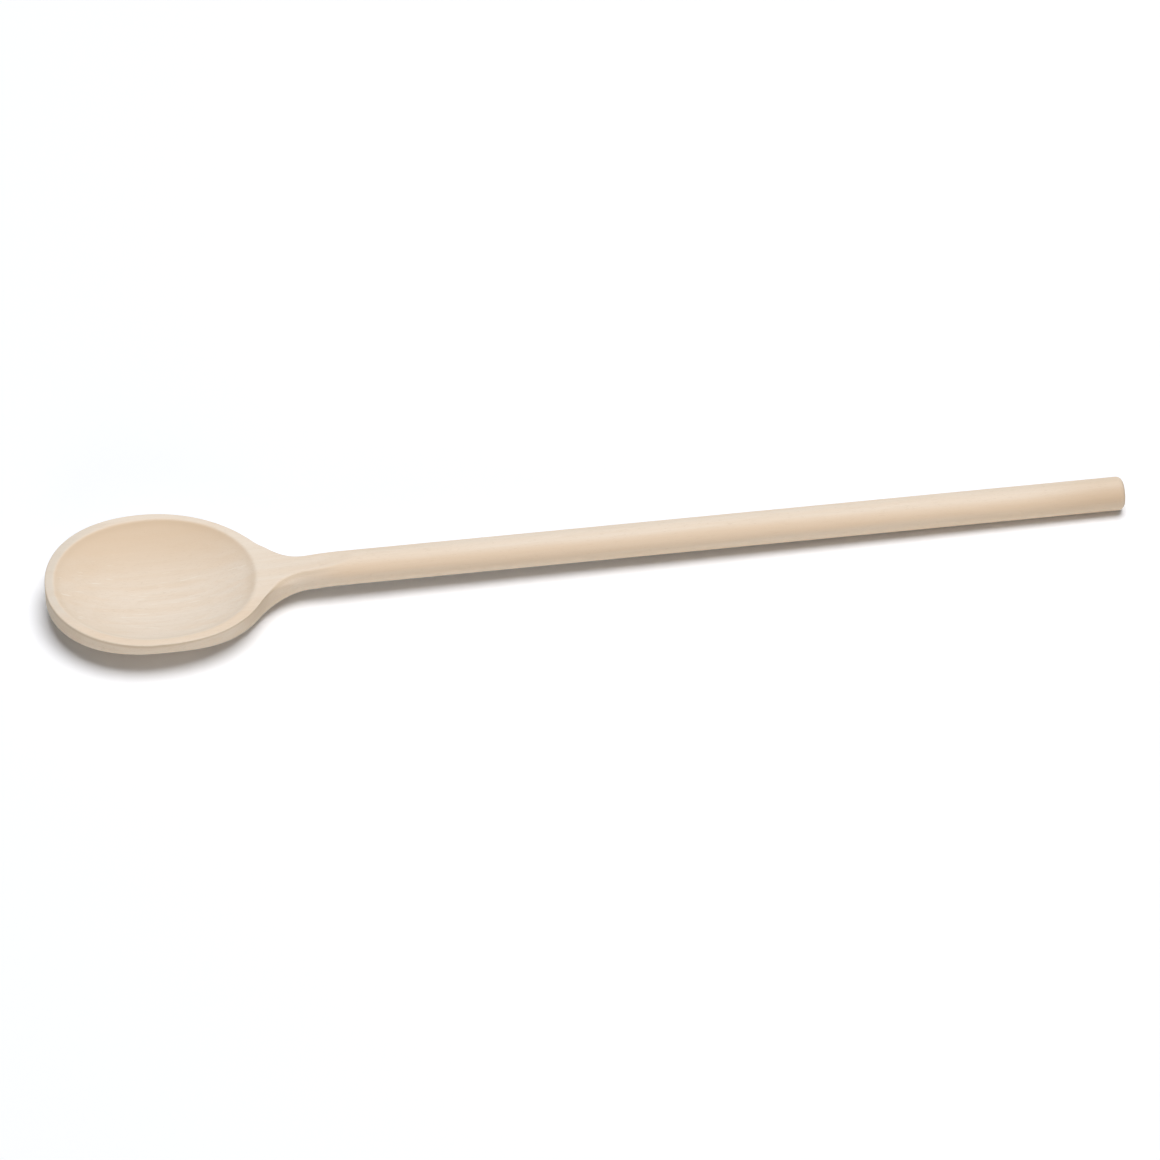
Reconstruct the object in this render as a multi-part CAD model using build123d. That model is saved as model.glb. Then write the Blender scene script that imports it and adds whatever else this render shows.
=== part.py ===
from build123d import *

import math
import os

# A long wooden cooking spoon, carved from one plank of beech.
# Lengths are millimetres and angles degrees.
# The spoon is shaped with the handle's axis on X, the bowl's tip at zero and the bowl facing up,
# and is then laid on the table, where it touches with its belly and with the end of the handle.

# Overall
spoon_length = 400.0

# Handle: a round stick with a rounded end
handle_diameter = 12.5
handle_end_rounding = 2.4

# Bowl seen from above: an oval nose, two flanks and two hollowed neck sides
bowl_width = 68.0
nose_length = 38.0
flank_radius = 50.0
neck_radius = 24.0

# Bowl seen from the side, from the axis of the handle
rim_rise = 3.9
belly_drop = 10.4
tip_wall_height = 8.0
ramp_radius = 230.0

# The belly is rounder than the sawn walls are wide, so that they stand straight above it
belly_spread_share = 0.365
belly_height_share = 2.86

# The keel starts to rise ahead of the flanks' end and meets the handle behind the neck's end,
# by these shares of the neck's radius
keel_lead_share = 0.65
keel_trail_share = 0.5

# Wood left round the neck by the saw, which the rounding of the handle takes off
neck_stock = 0.8

# Hollow of the bowl, with its flat rim band, from the tip to where the flanks end
rim_band = 2.9
hollow_depth = 8.6
hollow_centre_rise = 21.0

# Sanded edges: the rim outside, and the rim round the hollow
rim_edge_radius = 0.6
hollow_edge_radius = 0.5

# Overrun of a cutting body past what it cuts
overrun = 10.0

# Sections of the stock are drawn evenly from ahead of the tip to behind the neck
section_count = 27

# Worked out from the sizes above
handle_radius = handle_diameter / 2
half_width = bowl_width / 2
flank_centre_y = half_width - flank_radius


def neck_turn(neck_half_width):
    """The angle that a flank turns through before the neck's hollow side takes over."""
    cosine = (neck_half_width + neck_radius - flank_centre_y) / (flank_radius + neck_radius)
    return math.degrees(math.acos(cosine))


turn = math.radians(neck_turn(handle_radius))
flank_end_x = nose_length + flank_radius * math.sin(turn)
neck_end_x = nose_length + (flank_radius + neck_radius) * math.sin(turn)
keel_start_x = flank_end_x - keel_lead_share * neck_radius
keel_end_x = neck_end_x + keel_trail_share * neck_radius
hollow_length = flank_end_x - rim_band


def plan_half_width(x):
    """Half the spoon's width behind the nose, seen from above."""
    if x < nose_length:
        return half_width
    if x < flank_end_x:
        return flank_centre_y + math.sqrt(flank_radius ** 2 - (x - nose_length) ** 2)
    if x < neck_end_x:
        return handle_radius + neck_radius - math.sqrt(neck_radius ** 2 - (neck_end_x - x) ** 2)
    return handle_radius


def ease(x, start, end):
    """Runs smoothly from 0 at start to 1 at end."""
    t = min(max((x - start) / (end - start), 0), 1)
    return t * t * (3 - 2 * t)


def keel_z(x):
    """Height of the underside along the middle of the spoon."""
    if x < nose_length:
        tip_keel_z = rim_rise - tip_wall_height
        return (tip_keel_z + belly_drop) * (1 - x / nose_length) ** 2 - belly_drop
    return (belly_drop - handle_radius) * ease(x, keel_start_x, keel_end_x) - belly_drop


def stock_section(x):
    """The oval section of the stock: belly below, and round where the handle starts."""
    spread = belly_spread_share * (1 - ease(x, flank_end_x, neck_end_x))
    across = plan_half_width(x) * (1 + spread)
    fading = (1 - ease(x, nose_length, neck_end_x + handle_radius)) ** 2
    upright = handle_radius + (belly_height_share * belly_drop - handle_radius) * fading
    plane = Plane(origin=(x, 0, keel_z(x) + upright), x_dir=(0, 1, 0), z_dir=(1, 0, 0))
    return plane * Ellipse(across, upright)


def carved_stock():
    """Belly, neck and handle in one, before the bowl's outline and face are cut."""
    first_x = -overrun
    last_x = neck_end_x + neck_radius
    step = (last_x - first_x) / (section_count - 1)
    belly = loft([stock_section(first_x + step * i) for i in range(section_count)])
    stick_end = Plane(origin=(last_x, 0, 0), x_dir=(0, 1, 0), z_dir=(1, 0, 0))
    stick = extrude(stick_end * Circle(handle_radius), amount=spoon_length - last_x)
    end_edge = stick.edges().group_by(Axis.X)[-1]
    return belly + fillet(end_edge, radius=handle_end_rounding)


def sawn_outline():
    """The bowl's upright walls: everything within the outline sawn from the plank."""
    neck_half_width = handle_radius + neck_stock
    angle = neck_turn(neck_half_width)
    centre_x = nose_length + (flank_radius + neck_radius) * math.sin(math.radians(angle))
    nose = EllipticalCenterArc((nose_length, 0), nose_length, half_width, 90, arc_size=180)
    flank = CenterArc((nose_length, flank_centre_y), flank_radius, 90, -angle)
    side = CenterArc((centre_x, neck_half_width + neck_radius), neck_radius, 270 - angle, angle)
    far_end = Line((centre_x, neck_half_width), (centre_x, -neck_half_width))
    edges = [nose, flank, side, mirror(flank, Plane.XZ), mirror(side, Plane.XZ), far_end]
    foot = Plane.XY.offset(-bowl_width)
    bowl = extrude(foot * make_face(edges), amount=2 * bowl_width)
    stick_room = Box(
        spoon_length, bowl_width, 2 * bowl_width, align=(Align.MIN, Align.CENTER, Align.CENTER)
    )
    return bowl + Pos(centre_x, 0, 0) * stick_room


def face_cut():
    """What is planed off above the rim, with the ramp that runs out on top of the neck."""
    ramp_start = flank_end_x + rim_band
    lift = handle_radius + overrun - rim_rise
    ramp_run = math.sqrt(ramp_radius ** 2 - (ramp_radius - lift) ** 2)
    angle = math.degrees(math.asin(ramp_run / ramp_radius))
    level = Line((-overrun, rim_rise), (ramp_start, rim_rise))
    ramp = CenterArc((ramp_start, rim_rise + ramp_radius), ramp_radius, 270, angle)
    top = bowl_width
    roof = Polyline(ramp @ 1, (ramp_start + ramp_run, top), (-overrun, top), (-overrun, rim_rise))
    side = Plane.XZ.offset(-bowl_width)
    return extrude(side * make_face([level, ramp, roof]), amount=2 * bowl_width)


def hollow():
    """The round-bottomed dish inside the rim band."""
    upright = hollow_centre_rise + hollow_depth
    shrink = math.sqrt(1 - (hollow_centre_rise / upright) ** 2)
    along = hollow_length / 2 / shrink
    across = (half_width - rim_band) / shrink
    dish = scale(Sphere(1), by=(along, across, upright))
    return Pos(rim_band + hollow_length / 2, 0, rim_rise + hollow_centre_rise) * dish


def rim_face(spoon):
    """The flat band round the hollow."""
    return spoon.faces().filter_by(Axis.Z).sort_by(SortBy.AREA)[-1]


def sanded(spoon):
    """Rounds the rim's edges, which the saw, the plane and the cutter leave sharp."""
    outside = rim_face(spoon).outer_wire().edges().filter_by(GeomType.LINE, reverse=True)
    spoon = fillet(outside, radius=rim_edge_radius)
    inside = rim_face(spoon).inner_wires()[0].edges()
    return fillet(inside, radius=hollow_edge_radius)


def wooden_spoon():
    spoon = (carved_stock() & sawn_outline()) - face_cut() - hollow()
    return sanded(spoon)


def laid_down(spoon):
    """Lays the spoon on its belly and the end of its handle, centred on the origin."""
    reach = spoon_length - handle_end_rounding - keel_start_x
    lean = math.atan2(belly_drop - handle_radius, reach)
    spoon = spoon.rotate(Axis.Y, math.degrees(lean))
    box = spoon.bounding_box()
    return Pos(-box.center().X, -box.center().Y, -box.min.Z) * spoon


os.makedirs("parts", exist_ok=True)
body = laid_down(wooden_spoon())
body.label = "wooden_spoon"
export_step(body, "parts/wooden_spoon.step")
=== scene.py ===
"""The look of a long beech cooking spoon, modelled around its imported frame."""

import math

import bmesh
import bpy
import numpy as np
from mathutils import Matrix, Vector


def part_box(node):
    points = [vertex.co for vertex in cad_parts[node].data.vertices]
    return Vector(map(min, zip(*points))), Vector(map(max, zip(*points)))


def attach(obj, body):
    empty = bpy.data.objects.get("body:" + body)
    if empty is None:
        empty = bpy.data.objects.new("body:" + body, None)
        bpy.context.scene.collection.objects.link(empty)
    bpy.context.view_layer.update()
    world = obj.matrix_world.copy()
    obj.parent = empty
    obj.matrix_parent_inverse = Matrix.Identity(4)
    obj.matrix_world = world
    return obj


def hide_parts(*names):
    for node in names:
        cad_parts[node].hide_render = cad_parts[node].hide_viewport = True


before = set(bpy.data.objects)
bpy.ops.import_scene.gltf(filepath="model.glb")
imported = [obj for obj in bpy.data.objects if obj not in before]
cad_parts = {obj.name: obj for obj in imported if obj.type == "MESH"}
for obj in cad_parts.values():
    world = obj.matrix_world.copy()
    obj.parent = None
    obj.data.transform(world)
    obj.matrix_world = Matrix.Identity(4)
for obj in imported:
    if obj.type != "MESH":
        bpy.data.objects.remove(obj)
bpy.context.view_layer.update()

# Millimetres in the shape's functions below, metres in the scene
MM = 0.001

# The spoon's driving sizes, as on the real object, with the handle's axis on X and the tip at zero
spoon_length = 400.0
handle_radius = 6.25
handle_end_rounding = 2.4
half_width = 34.0
nose_length = 38.0
flank_radius = 50.0
neck_radius = 24.0
rim_rise = 3.9
belly_drop = 10.4
tip_wall_height = 8.0
ramp_radius = 230.0
belly_spread_share = 0.365
belly_height_share = 2.86
keel_lead_share = 0.65
keel_trail_share = 0.5
rim_band = 2.9
hollow_depth = 8.6
hollow_centre_rise = 21.0

# One side of the nose is a little fuller than a plain ellipse, whose power is 2
near_nose_power = 2.0
far_nose_power = 2.2

# The rim's near edge is fuller too where the bowl turns into the neck
shoulder_x = 71.0
shoulder_bulge = 2.6
shoulder_lead = 19.0
shoulder_trail = 9.5

# Softness of sanded edges, and how much of a low wall its rounded edges may take up
rim_edge_radius = 0.6
wall_foot_radius = 1.2
rim_edge_share = 0.25
wall_foot_share = 0.5
hollow_edge_softness = 0.5
facet_edge_softness = 0.2

# Mesh fineness: points across the top, down a wall, across the belly, and along the spoon
top_points = 150
wall_points = 12
belly_points = 96
nose_stations = 90
bowl_step = 0.5
handle_stations = 90
end_stations = 12
cap_rings = 8

# In metres: points this close become one, and faces with an edge this short are closed up
merge_distance = 2e-6
least_edge = 1e-6

# Keeps the outline's sums from dividing by zero
tiny = 1e-9

# Growth rings go round a pith below the plank: its Y and Z at X = 0, and its slope along X
pith_place = (-0.021, -0.085)
pith_slope = (0.03, 0.02)
rings_per_metre = 380.0
ring_drift = 0.006

# Scales of the wood's noises, in features per metre along, across and up through it
drift_scale = (6.0, 30.0, 30.0)
fibre_scale = (90.0, 2600.0, 2600.0)
streak_scale = (14.0, 420.0, 420.0)
fleck_scale = (520.0, 3400.0, 2200.0)
tone_scale = (9.0, 40.0, 40.0)
band_scale = (11.0, 210.0, 210.0)
scratch_scale = (150.0, 1500.0, 200.0)
scratch_patch_scale = (60.0, 60.0, 60.0)
scratch_turn = 0.22

# The wood's tones, and the tones of painted shade and light on it
pale_tone = (0.885, 0.780, 0.675, 1)
warm_tone = (0.825, 0.690, 0.545, 1)
ring_tone = (0.765, 0.620, 0.470, 1)
fleck_tone = (0.560, 0.415, 0.285, 1)
# The end grain's tone, used also for painted shade on the bowl's walls
end_grain_and_shade_tone = (0.620, 0.480, 0.330, 1)
# The tone of painted shade in the hollow
painted_shade_tone = (0.740, 0.575, 0.415, 1)
planed_tone = (0.900, 0.805, 0.695, 1)
# Warm tone of grain bands and the near rim, used also for painted shade on the handle's sides
warm_grain_and_shade_tone = (0.830, 0.625, 0.435, 1)
# Pale tone of scratches, used also for a painted highlight on the hollow's near edge
scratch_and_highlight_tone = (0.960, 0.890, 0.800, 1)
# The tone of painted shade on the handle's end
end_shade_tone = (0.665, 0.495, 0.342, 1)
worn_tone = (0.570, 0.530, 0.470, 1)

# Each mark on the wood, painted shade and light among them: its tone, and how much of it shows
# where the mark is strongest
marks = {
    "broad warmth": (warm_tone, 0.55),
    "band": (warm_grain_and_shade_tone, 0.22),
    "ring": (ring_tone, 0.12),
    "streak": (ring_tone, 0.22),
    "fibre": (fleck_tone, 0.13),
    "fleck": (fleck_tone, 0.20),
    # Painted shade in the hollow
    "painted far-side shade": (painted_shade_tone, 0.85),
    "painted nose-side shade": (painted_shade_tone, 0.20),
    "painted edge shade": (painted_shade_tone, 0.20),
    "planed rim": (planed_tone, 0.26),
    "near rim": (warm_grain_and_shade_tone, 0.32),
    "worn nose": (worn_tone, 0.31),
    # Painted highlight on the hollow's near edge
    "painted near-edge highlight": (scratch_and_highlight_tone, 0.22),
    # Painted shade on the handle's sides
    "painted side shade": (warm_grain_and_shade_tone, 0.55),
    # Painted shade on the bowl's walls
    "wall": (end_grain_and_shade_tone, 0.05),
    # Painted shade on the handle's end
    "painted end shade": (end_shade_tone, 0.60),
    "end grain": (end_grain_and_shade_tone, 0.65),
    "scratch": (scratch_and_highlight_tone, 0.40),
}

# How much less painted shade the hollow's near edge gets, and how much less the handle's faces
# turned down get, as painted bounce light
near_edge_shade_relief = 0.8
low_shade_relief = 0.6

# A painted shade line just below the rim: what it adds to the walls' painted shade, and how deep
# its ramp reaches
shade_line_strength = 8.0
shade_line_reach = 0.004

# Where the painted shade on the handle's end starts on X, and how far on it is at its darkest
end_shade_start = 0.155
end_shade_length = 0.040

# The finish of bare, fine-sanded wood
smooth_roughness = 0.56
fibre_roughness = 0.16
streak_relief = 0.5
fleck_relief = -0.6
bump_strength = 0.35
bump_depth = 0.00006
wood_ior = 1.45
wood_specular = 0.35

# The table, as it is and as it is seen directly
table_half = 4.0
table_tone = (0.86, 0.89, 0.90, 1)
table_seen_tone = (1.06, 1.08, 1.13, 1)

# The lamps: direction, size, share of white that they light a surface to, and colour
lamp_distance = 4.0
lamps = {
    "key_lamp": ((0.13, 0.05, 1.0), 3.0, 1.015, (1.0, 0.98, 0.96)),
    "front_lamp": ((-0.10, -1.0, 0.10), 2.0, 0.27, (1.0, 0.80, 0.62)),
}

# The faint light that the room throws back from all sides
room_tone = (0.62, 0.84, 1, 1)
room_level = 0.075

# The camera: its angles, distance and reach, and where the origin is in the photograph's frame
camera_azimuth = math.radians(-8.50)
camera_elevation = math.radians(45.0)
camera_distance = 2.5
camera_reach = 50.0
photo_side_px = 1160
pixels_per_metre = 2717.3
origin_px = (589.1, 561.0)
sensor_width_mm = 36.0

# What follows from the driving sizes
flank_centre_y = half_width - flank_radius
turn_cosine = (handle_radius + neck_radius - flank_centre_y) / (flank_radius + neck_radius)
turn_sine = math.sqrt(1 - turn_cosine ** 2)
flank_end_x = nose_length + flank_radius * turn_sine
neck_end_x = nose_length + (flank_radius + neck_radius) * turn_sine
keel_start_x = flank_end_x - keel_lead_share * neck_radius
keel_end_x = neck_end_x + keel_trail_share * neck_radius
hollow_length = flank_end_x - rim_band
hollow_middle_x = rim_band + hollow_length / 2
hollow_half_width = half_width - rim_band
ramp_start = flank_end_x + rim_band
round_end_x = spoon_length - handle_end_rounding

# The spoon rests on its belly and its handle's end, which leans its axis by this much
lean = math.atan2(belly_drop - handle_radius, round_end_x - keel_start_x)


def ease(x, start, end):
    """Runs smoothly from 0 at start to 1 at end."""
    t = np.clip((x - start) / (end - start), 0, 1)
    return t * t * (3 - 2 * t)


def soft_min(a, b, softness):
    """The lower of two heights, with the corner between them rounded."""
    near = np.clip(softness - np.abs(a - b), 0, None) / softness
    return np.minimum(a, b) - near * near * softness / 4


def plan_half_width(x, power=near_nose_power):
    """Half the spoon's width at a place along it, seen from above."""
    nose = half_width * (1 - np.clip(1 - x / nose_length, 0, 1) ** power) ** (1 / power)
    flank = flank_centre_y + np.sqrt(np.clip(flank_radius ** 2 - (x - nose_length) ** 2, 0, None))
    side = handle_radius + neck_radius
    side = side - np.sqrt(np.clip(neck_radius ** 2 - (neck_end_x - x) ** 2, 0, None))
    width = np.where(x < nose_length, nose, flank)
    width = np.where(x > flank_end_x, side, width)
    return np.where(x > neck_end_x, handle_radius, width)


def inside_distance(x, y):
    """How far a place lies inside the even outline, seen from above."""
    power = np.where(y > 0, far_nose_power, near_nose_power)
    along = np.abs(x - nose_length) / nose_length
    across = np.abs(y) / half_width
    reach = (along ** power + across ** power) ** (1 / power) + tiny
    slope = np.hypot(along ** (power - 1) / nose_length, across ** (power - 1) / half_width)
    nose = (1 - reach) / (slope * reach ** (1 - power) + tiny)
    flank = flank_radius - np.hypot(x - nose_length, np.abs(y) - flank_centre_y)
    side = np.hypot(x - neck_end_x, np.abs(y) - handle_radius - neck_radius) - neck_radius
    distance = np.where(x < nose_length, nose, flank)
    distance = np.where(x > flank_end_x, side, distance)
    return np.where(x > neck_end_x, handle_radius - np.abs(y), distance)


def shoulder(x):
    """How far the rim's near edge stands out beyond the even outline."""
    reach = np.where(x < shoulder_x, shoulder_lead, shoulder_trail)
    bulge = shoulder_bulge * np.exp(-((x - shoulder_x) / reach) ** 2)
    return np.minimum(bulge, half_width - plan_half_width(x))


def keel_z(x):
    """Height of the underside along the middle of the spoon."""
    tip_keel_z = rim_rise - tip_wall_height
    nose = (tip_keel_z + belly_drop) * (1 - x / nose_length) ** 2 - belly_drop
    behind = (belly_drop - handle_radius) * ease(x, keel_start_x, keel_end_x) - belly_drop
    return np.where(x < nose_length, nose, behind)


def oval(x):
    """The stock's oval section: half its width, half its height, and its middle's height."""
    spread = belly_spread_share * (1 - ease(x, flank_end_x, neck_end_x))
    width = np.where(x < nose_length, half_width, plan_half_width(x))
    across = width * (1 + spread)
    fading = (1 - ease(x, nose_length, neck_end_x + handle_radius)) ** 2
    upright = handle_radius + (belly_height_share * belly_drop - handle_radius) * fading
    return across, upright, keel_z(x) + upright


def face_z(x):
    """The planed rim, and the ramp from it up to the top of the handle."""
    run = np.clip(x - ramp_start, 0, ramp_radius)
    return rim_rise + ramp_radius - np.sqrt(ramp_radius ** 2 - run ** 2)


def dish_z(x, y):
    """The round-bottomed hollow."""
    upright = hollow_centre_rise + hollow_depth
    shrink = math.sqrt(1 - (hollow_centre_rise / upright) ** 2)
    along = (x - hollow_middle_x) / (hollow_length / 2 / shrink)
    across = y / (hollow_half_width / shrink)
    power = np.where(along * across < 0, far_nose_power, near_nose_power)
    reach = (np.abs(along) ** power + np.abs(across) ** power) ** (1 / power)
    return rim_rise + hollow_centre_rise - upright * np.sqrt(np.clip(1 - reach ** 2, 0, 1))


def rounded(distance, radius):
    """How far an edge of this radius drops a surface at a distance inside the edge."""
    gap = np.clip(radius - distance, 0, radius)
    return radius - np.sqrt(np.clip(radius ** 2 - gap ** 2, 0, None))


def section(x):
    """One closed loop of points round the spoon at x: top, far wall, belly, near wall."""
    width = plan_half_width(x)
    far_width = plan_half_width(x, far_nose_power)
    bulge = shoulder(x)
    across, upright, middle = oval(x)
    edge_lift = upright * math.sqrt(max(0.0, 1 - float(width / across) ** 2))
    wall_top = min(float(face_z(x)), float(middle + edge_lift))
    wall_foot = float(middle - edge_lift)
    room = max(wall_top - wall_foot, 0.0)
    top_radius = min(rim_edge_radius, room * rim_edge_share)
    foot_radius = min(wall_foot_radius, room * wall_foot_share)

    turn = np.linspace(-math.pi / 2, math.pi / 2, top_points + 1)
    y = np.where(turn > 0, far_width, width + bulge) * np.sin(turn)
    crown = middle + upright * np.sqrt(np.clip(1 - (y / across) ** 2, 0, 1))
    top = soft_min(np.full_like(y, face_z(x)), crown, facet_edge_softness)
    top = soft_min(top, dish_z(x, y), hollow_edge_softness)
    if top_radius > 0:
        inside = inside_distance(np.full_like(y, x), y) + np.where(y < 0, bulge, 0)
        top = top - rounded(np.clip(inside, 0, None), top_radius)
    top_loop = np.stack([y, top], 1)

    turn = np.linspace(math.pi / 2, -math.pi / 2, belly_points + 1)
    y = np.where(turn > 0, far_width, width) * np.sin(turn)
    belly = middle - upright * np.sqrt(np.clip(1 - (y / across) ** 2, 0, 1))
    if foot_radius > 0:
        inside = inside_distance(np.full_like(y, x), y)
        belly = belly + rounded(np.clip(inside, 0, None), foot_radius)
    belly_loop = np.stack([y, belly], 1)

    steps = np.linspace(0, 1, wall_points + 1)[1:-1, None]
    far_wall = top_loop[-1] + (belly_loop[0] - top_loop[-1]) * steps
    near_wall = belly_loop[-1] + (top_loop[0] - belly_loop[-1]) * steps
    loop = np.concatenate([top_loop, far_wall, belly_loop, near_wall])
    return np.column_stack([np.full(len(loop), x), loop])


def stations():
    """Places along the spoon: close at the nose, even over bowl and neck, wide on the handle."""
    turn = np.linspace(0, math.pi / 2, nose_stations + 1)
    nose = nose_length * (1 - np.cos(turn))
    plain_handle_x = neck_end_x + neck_radius
    bowl = np.arange(nose_length + bowl_step, plain_handle_x, bowl_step)
    handle = np.linspace(plain_handle_x, round_end_x, handle_stations)
    return np.concatenate([nose, bowl, handle])


def spoon_points():
    """All loops of the spoon in the shape's own frame, from the tip to the middle of the end."""
    loops = [section(float(x)) for x in stations()]
    last = loops[-1]
    flat_radius = handle_radius - handle_end_rounding
    for turn in np.linspace(0, math.pi / 2, end_stations + 1)[1:]:
        share = (flat_radius + handle_end_rounding * math.cos(turn)) / handle_radius
        loop = last * np.array([1, share, share])
        loop[:, 0] = round_end_x + handle_end_rounding * math.sin(turn)
        loops.append(loop)
    flat_edge = loops[-1]
    for share in np.linspace(1, 0, cap_rings + 1)[1:]:
        loops.append(flat_edge * np.array([1, share, share]))
    return np.array(loops)


def leaned(points):
    """Turns points so that the spoon rests on its belly and its handle's end, in metres."""
    x, y, z = points[..., 0], points[..., 1], points[..., 2]
    turned_x = x * math.cos(lean) + z * math.sin(lean)
    turned_z = z * math.cos(lean) - x * math.sin(lean)
    return np.stack([turned_x, y, turned_z], -1) * MM


def frame_shift(points):
    """The step that centres leaned points in the frame's box and sets them on its floor."""
    low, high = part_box("wooden_spoon")
    flat = points.reshape(-1, 3)
    shift = (np.array(low) + np.array(high)) / 2 - (flat.min(0) + flat.max(0)) / 2
    shift[2] = low[2] - flat[:, 2].min()
    return shift


def spoon_mesh(points):
    """One closed skin over all loops."""
    rows, columns = points.shape[:2]
    index = np.arange(rows * columns).reshape(rows, columns)
    across = np.roll(index, -1, axis=1)
    faces = np.stack([index[:-1], across[:-1], across[1:], index[1:]], -1).reshape(-1, 4)
    mesh = bpy.data.meshes.new("spoon_wood")
    mesh.from_pydata(points.reshape(-1, 3).tolist(), [], faces.tolist())
    work = bmesh.new()
    work.from_mesh(mesh)
    bmesh.ops.remove_doubles(work, verts=work.verts, dist=merge_distance)
    bmesh.ops.dissolve_degenerate(work, edges=work.edges, dist=least_edge)
    bmesh.ops.recalc_face_normals(work, faces=work.faces)
    work.to_mesh(mesh)
    work.free()
    for polygon in mesh.polygons:
        polygon.use_smooth = True
    return mesh


class Nodes:
    """Short hands for building the nodes of a material or a world."""

    def __init__(self, owner):
        owner.use_nodes = True
        self.tree = owner.node_tree
        self.tree.nodes.clear()

    def add(self, kind, inputs, **settings):
        """A node with these settings, each of whose inputs is linked or given its value."""
        node = self.tree.nodes.new(kind)
        for key, value in settings.items():
            setattr(node, key, value)
        for key, value in inputs.items():
            if isinstance(value, bpy.types.NodeSocket):
                self.tree.links.new(value, node.inputs[key])
            else:
                node.inputs[key].default_value = value
        return node

    def split(self, vector):
        return self.add("ShaderNodeSeparateXYZ", {"Vector": vector}).outputs

    def math(self, operation, a, b=0.0, c=0.0, clamp=False):
        node = self.add("ShaderNodeMath", {0: a, 1: b, 2: c}, operation=operation, use_clamp=clamp)
        return node.outputs[0]

    def both(self, first, *others):
        """Where all of these hold at once."""
        for other in others:
            first = self.math("MULTIPLY", first, other)
        return first

    def outside(self, share):
        """Where this doesn't hold."""
        return self.math("SUBTRACT", 1.0, share)

    def ramp(self, value, *stops):
        """Runs smoothly through these levels, each at its place from 0 to 1."""
        node = self.add("ShaderNodeValToRGB", {"Fac": value})
        node.color_ramp.interpolation = "EASE"
        while len(node.color_ramp.elements) < len(stops):
            node.color_ramp.elements.new(0.5)
        for element, (place, level) in zip(node.color_ramp.elements, stops):
            element.position = place
            element.color = (level, level, level, 1)
        return node.outputs["Color"]

    def noise(self, place, scale, detail, roughness=0.5, turn=0.0):
        """Noise at its own scale on each axis, turned about Z."""
        inputs = {"Vector": place, "Rotation": (0.0, 0.0, turn), "Scale": scale}
        drawn = self.add("ShaderNodeMapping", inputs).outputs["Vector"]
        inputs = {"Vector": drawn, "Scale": 1.0, "Detail": detail, "Roughness": roughness}
        return self.add("ShaderNodeTexNoise", inputs).outputs["Fac"]

    def mix(self, share, a, b):
        """One colour over another, through the sockets that the node keeps for colours."""
        return self.add("ShaderNodeMix", {0: share, 6: a, 7: b}, data_type="RGBA").outputs[2]

    def mark(self, colour, where, name):
        """Lays one of the wood's marks over a colour."""
        tone, amount = marks[name]
        return self.mix(self.math("MULTIPLY", where, amount), colour, tone)

    def seen_directly(self):
        """One for rays that see a place straight, in a mirror or through glass, else zero."""
        path = self.add("ShaderNodeLightPath", {})
        seen = path.outputs["Is Camera Ray"]
        for name in ("Is Glossy Ray", "Is Transmission Ray"):
            seen = self.math("MAXIMUM", seen, path.outputs[name])
        return seen


def growth_rings(n, place, x, y, z):
    """Growth rings: long tubes round a pith well below the plank, a little out of line with it."""
    drift = n.noise(place, drift_scale, 2.0)
    aside = n.math("SUBTRACT", y, n.math("MULTIPLY_ADD", x, pith_slope[0], pith_place[0]))
    above = n.math("SUBTRACT", z, n.math("MULTIPLY_ADD", x, pith_slope[1], pith_place[1]))
    squares = n.math("ADD", n.math("MULTIPLY", aside, aside), n.math("MULTIPLY", above, above))
    radius = n.math("MULTIPLY_ADD", drift, ring_drift, n.math("SQRT", squares))
    ring = n.math("FRACT", n.math("MULTIPLY", radius, rings_per_metre))
    return n.ramp(ring, (0.0, 0.0), (0.72, 0.35), (0.92, 1.0), (1.0, 0.0))


def grain(n, place, x, y, z):
    """The wood before it is worked: its colour, and the streaks, fibres and flecks in it."""
    # Broad change of tone along and across the plank, narrower bands within it, and rings
    colour = n.mark(pale_tone, n.noise(place, tone_scale, 2.0), "broad warmth")
    band = n.ramp(n.noise(place, band_scale, 2.0, 0.55), (0.42, 0.0), (0.68, 1.0))
    colour = n.mark(colour, band, "band")
    colour = n.mark(colour, growth_rings(n, place, x, y, z), "ring")

    # Streaks and much finer fibres, which run along the wood
    streak = n.noise(place, streak_scale, 3.0, 0.55)
    colour = n.mark(colour, n.ramp(streak, (0.35, 0.0), (0.75, 1.0)), "streak")
    fibre = n.noise(place, fibre_scale, 3.0, 0.6)
    colour = n.mark(colour, n.ramp(fibre, (0.45, 0.0), (0.8, 1.0)), "fibre")

    # Ray flecks: short darker dashes, a millimetre or two long
    fleck = n.ramp(n.noise(place, fleck_scale, 1.0, 0.4), (0.62, 0.0), (0.72, 1.0))
    return n.mark(colour, fleck, "fleck"), streak, fibre, fleck


def sanded_normal(n, streak, fibre, fleck):
    """The surface's normal, with the finest grain that sanding leaves in it."""
    height = n.math("MULTIPLY_ADD", streak, streak_relief, fibre)
    height = n.math("MULTIPLY_ADD", fleck, fleck_relief, height)
    inputs = {"Height": height, "Strength": bump_strength, "Distance": bump_depth}
    return n.add("ShaderNodeBump", inputs).outputs["Normal"]


def mouth_reach(n, along, across):
    """How far out a place lies from the middle of the hollow's mouth, whose edge is at a half."""
    fuller = n.math("LESS_THAN", n.math("MULTIPLY", along, across), 0.0)
    power = n.math("MULTIPLY_ADD", fuller, far_nose_power - near_nose_power, near_nose_power)
    powers = [n.math("POWER", n.math("ABSOLUTE", part), power) for part in (along, across)]
    return n.math("POWER", n.math("ADD", *powers), n.math("DIVIDE", 1.0, power))


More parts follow.
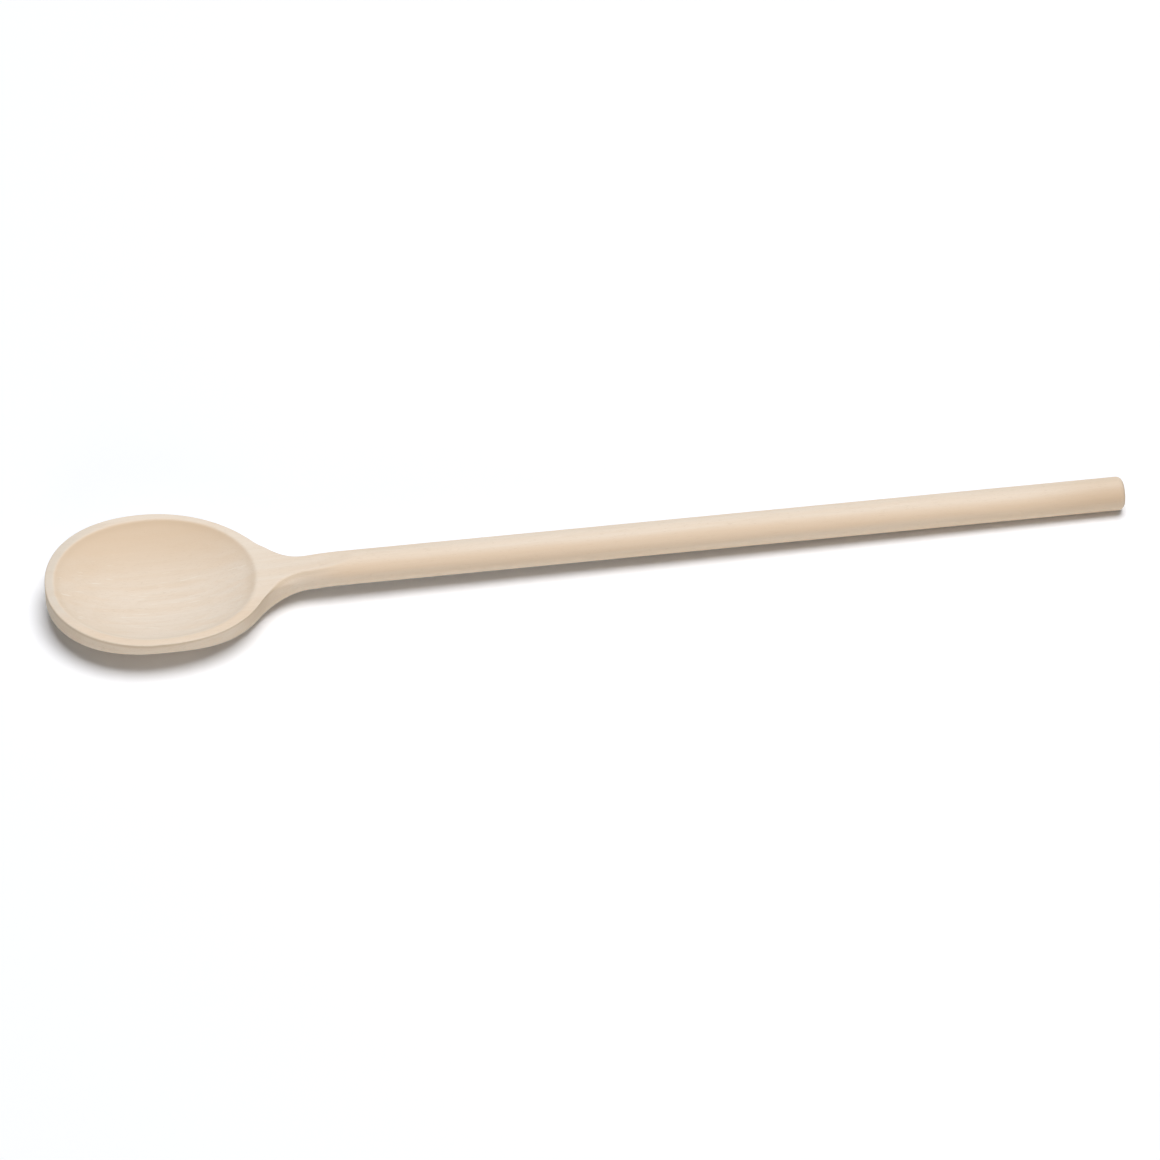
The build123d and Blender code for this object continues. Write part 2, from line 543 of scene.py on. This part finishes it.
def rim_depth(n, x, z, rim_x, rim_z):
    """How far a place lies below the planed rim and its ramp."""
    fall = math.tan(lean)
    face = n.math("MULTIPLY_ADD", x, -fall, rim_z + fall * rim_x)
    ramp_x = rim_x + (ramp_start - hollow_middle_x) * MM
    run = n.math("MAXIMUM", n.math("SUBTRACT", x, ramp_x), 0.0)
    face = n.math("MULTIPLY_ADD", n.math("MULTIPLY", run, run), 0.5 / (ramp_radius * MM), face)
    return n.math("SUBTRACT", face, z)


def beech(rim_x, rim_y, rim_z):
    """Pale steamed beech, fine sanded and left bare, with painted shade and light, round a hollow
    whose mouth is centred here.
    """
    material = bpy.data.materials.new("beech")
    n = Nodes(material)
    here = n.add("ShaderNodeTexCoord", {})
    place = here.outputs["Object"]
    x, y, z = n.split(place)
    facing_x, facing_y, facing_z = n.split(here.outputs["Normal"])
    colour, streak, fibre, fleck = grain(n, place, x, y, z)

    # Places on the bowl, from the middle of its mouth to the mouth's edge at a half either way
    mouth_length, mouth_width = hollow_length * MM, 2 * hollow_half_width * MM
    along = n.math("MULTIPLY_ADD", x, 1 / mouth_length, -rim_x / mouth_length)
    across = n.math("MULTIPLY_ADD", y, 1 / mouth_width, -rim_y / mouth_width)
    reach = mouth_reach(n, along, across)
    upward = n.ramp(facing_z, (0.35, 0.0), (0.75, 1.0))
    dished = n.both(n.ramp(reach, (0.486, 1.0), (0.504, 0.0)), upward)
    edge = n.both(n.ramp(reach, (0.43, 0.0), (0.488, 1.0)), dished)
    sideways = n.math("ADD", across, 0.5)
    far_side = n.ramp(sideways, (0.45, 0.0), (0.95, 1.0))
    near_side = n.ramp(sideways, (0.10, 1.0), (0.40, 0.0))
    to_nose = n.math("SUBTRACT", 0.5, along)
    before_handle = n.ramp(along, (0.70, 1.0), (0.96, 0.0))

    # Painted shade: the hollow is warmer and darker on its far side, towards the nose, and just
    # inside its edge, least at the near edge
    colour = n.mark(colour, n.both(far_side, dished), "painted far-side shade")
    nose_half = n.ramp(to_nose, (0.50, 0.0), (0.95, 1.0))
    colour = n.mark(colour, n.both(nose_half, dished), "painted nose-side shade")
    edge_share = n.math("MULTIPLY_ADD", near_side, -near_edge_shade_relief, 1.0)
    colour = n.mark(colour, n.both(edge, edge_share), "painted edge shade")

    # The planed rim is the palest, but for its near side, which is warmer
    level = n.ramp(facing_z, (0.90, 0.0), (0.99, 1.0))
    planed = n.math("MULTIPLY", n.math("SUBTRACT", before_handle, dished), level, clamp=True)
    before_neck = n.ramp(along, (0.44, 1.0), (0.68, 0.0))
    colour = n.mark(colour, n.both(planed, before_neck, n.outside(near_side)), "planed rim")
    colour = n.mark(colour, n.both(planed, near_side), "near rim")

    # Round the nose the rim is worn to a greyer tone, and the hollow's near edge gets a painted
    # highlight
    nose_side = n.ramp(to_nose, (0.60, 0.0), (0.94, 1.0))
    colour = n.mark(colour, n.both(planed, nose_side, n.outside(near_side)), "worn nose")
    colour = n.mark(colour, n.both(edge, near_side), "painted near-edge highlight")

    # Painted shade: the handle's sides are warmer and darker than its top; faces turned down keep
    # less of it, as painted bounce light from the table
    downward = n.ramp(n.math("MULTIPLY_ADD", facing_z, -1.0, 0.5), (0.0, 0.0), (0.5, 1.0))
    shade_kept_below = n.math("MULTIPLY_ADD", downward, -low_shade_relief, 1.0)
    side_shade = n.ramp(n.math("ABSOLUTE", facing_y), (0.25, 0.0), (0.80, 1.0))
    side_shade = n.both(side_shade, shade_kept_below, n.outside(before_handle))
    colour = n.mark(colour, side_shade, "painted side shade")

    # Painted shade: the bowl's walls are a little darker, with a thin darker line just below the
    # rim
    below = n.math("MULTIPLY", rim_depth(n, x, z, rim_x, rim_z), 1 / shade_line_reach)
    line = n.ramp(below, (0.05, 0.0), (0.14, 1.0), (0.22, 1.0), (0.45, 0.0))
    wall = n.ramp(n.math("ABSOLUTE", facing_z), (0.75, 1.0), (0.95, 0.0))
    wall_shade = n.both(n.math("MULTIPLY_ADD", line, shade_line_strength, 1.0), wall, before_handle)
    colour = n.mark(colour, wall_shade, "wall")

    # Painted shade: the last of the handle is darker, most of all on the side facing -Y, less on
    # faces turned down
    end_shade = n.math("MULTIPLY_ADD", x, 1 / end_shade_length, -end_shade_start / end_shade_length)
    end_shade = n.ramp(end_shade, (0.0, 0.0), (1.0, 1.0))
    end_shade_side = n.ramp(n.math("MULTIPLY", facing_y, -1.0), (0.0, 0.4), (0.55, 1.0))
    colour = n.mark(colour, n.both(end_shade, end_shade_side, shade_kept_below), "painted end shade")

    # End grain, where the surface is cut across the fibres, drinks the light
    endward = n.math("MULTIPLY_ADD", facing_x, 0.5, 0.5)
    end_grain = n.ramp(endward, (0.03, 0.35), (0.28, 0.0), (0.72, 0.0), (0.97, 1.0))
    colour = n.mark(colour, end_grain, "end grain")

    # A few short pale scratches in the hollow
    scratch = n.noise(place, scratch_scale, 0.0, turn=scratch_turn)
    scratch = n.ramp(scratch, (0.70, 0.0), (0.76, 1.0))
    patch = n.ramp(n.noise(place, scratch_patch_scale, 1.0), (0.53, 0.0), (0.62, 1.0))
    colour = n.mark(colour, n.both(scratch, patch, dished), "scratch")

    shader = n.add("ShaderNodeBsdfPrincipled", {
        "Base Color": colour,
        "Roughness": n.math("MULTIPLY_ADD", fibre, fibre_roughness, smooth_roughness),
        "Normal": sanded_normal(n, streak, fibre, fleck),
        "IOR": wood_ior,
        "Specular IOR Level": wood_specular,
    })
    n.add("ShaderNodeOutputMaterial", {"Surface": shader.outputs["BSDF"]})
    return material


def table_material():
    """A plain white table top, lifted to pure white only where it is seen directly."""
    material = bpy.data.materials.new("table_top")
    n = Nodes(material)
    colour = n.mix(n.seen_directly(), table_tone, table_seen_tone)
    shader = n.add("ShaderNodeBsdfDiffuse", {"Color": colour})
    n.add("ShaderNodeOutputMaterial", {"Surface": shader.outputs["BSDF"]})
    return material


def room():
    """Soft white all round, pure white where it is seen directly."""
    world = bpy.data.worlds.new("room")
    n = Nodes(world)
    inputs = {"Value": n.seen_directly(), "To Min": room_level, "To Max": 1.0}
    strength = n.add("ShaderNodeMapRange", inputs).outputs["Result"]
    shader = n.add("ShaderNodeBackground", {"Color": room_tone, "Strength": strength})
    n.add("ShaderNodeOutputWorld", {"Surface": shader.outputs["Background"]})
    return world


def add_object(name, data):
    """Puts an object with this data in the scene."""
    made = bpy.data.objects.new(name, data)
    bpy.context.scene.collection.objects.link(made)
    return made


def add_lamp(name, direction, size, level, colour):
    """A round lamp that lights a surface facing it at the origin to this share of white."""
    towards = Vector(direction).normalized()
    lamp_data = bpy.data.lights.new(name, "AREA")
    lamp_data.shape = "DISK"
    lamp_data.size = size
    lamp_data.energy = level * math.pi ** 2 * lamp_distance ** 2
    lamp_data.color = colour
    lamp = add_object(name, lamp_data)
    lamp.location = towards * lamp_distance
    lamp.rotation_euler = towards.to_track_quat("Z", "Y").to_euler()


# The spoon
laid_points = leaned(spoon_points())
shift = frame_shift(laid_points)
rim_middle = leaned(np.array([hollow_middle_x, 0.0, rim_rise])) + shift
spoon = add_object("beech_spoon", spoon_mesh(laid_points + shift))
spoon.data.materials.append(beech(*rim_middle.tolist()))
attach(spoon, "root")
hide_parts("wooden_spoon")

# The table
table_mesh = bpy.data.meshes.new("table_top")
corners = [(-table_half, -table_half, 0), (table_half, -table_half, 0)]
corners += [(table_half, table_half, 0), (-table_half, table_half, 0)]
table_mesh.from_pydata(corners, [], [(0, 1, 2, 3)])
table = add_object("table_top", table_mesh)
table.data.materials.append(table_material())

# The camera, at the photograph's angle
right = Vector((math.cos(camera_azimuth), math.sin(camera_azimuth), 0))
back = Vector((
    math.sin(camera_azimuth) * math.cos(camera_elevation),
    -math.cos(camera_azimuth) * math.cos(camera_elevation),
    math.sin(camera_elevation),
))
up = back.cross(right)
camera_data = bpy.data.cameras.new("photo_camera")
camera_data.sensor_fit = "HORIZONTAL"
camera_data.sensor_width = sensor_width_mm
camera_data.lens = sensor_width_mm * pixels_per_metre * camera_distance / photo_side_px
camera_data.clip_end = camera_reach
camera = add_object("photo_camera", camera_data)
photo_middle_px = photo_side_px / 2
aside = (photo_middle_px - origin_px[0]) / pixels_per_metre
above = (origin_px[1] - photo_middle_px) / pixels_per_metre
stand = back * camera_distance + right * aside + up * above
turned = Matrix((right, up, back)).transposed().to_4x4()
camera.matrix_world = Matrix.Translation(stand) @ turned
bpy.context.scene.camera = camera

# The light
for lamp_name, lamp_settings in lamps.items():
    add_lamp(lamp_name, *lamp_settings)
bpy.context.scene.world = room()
bpy.context.scene.view_settings.view_transform = "Standard"
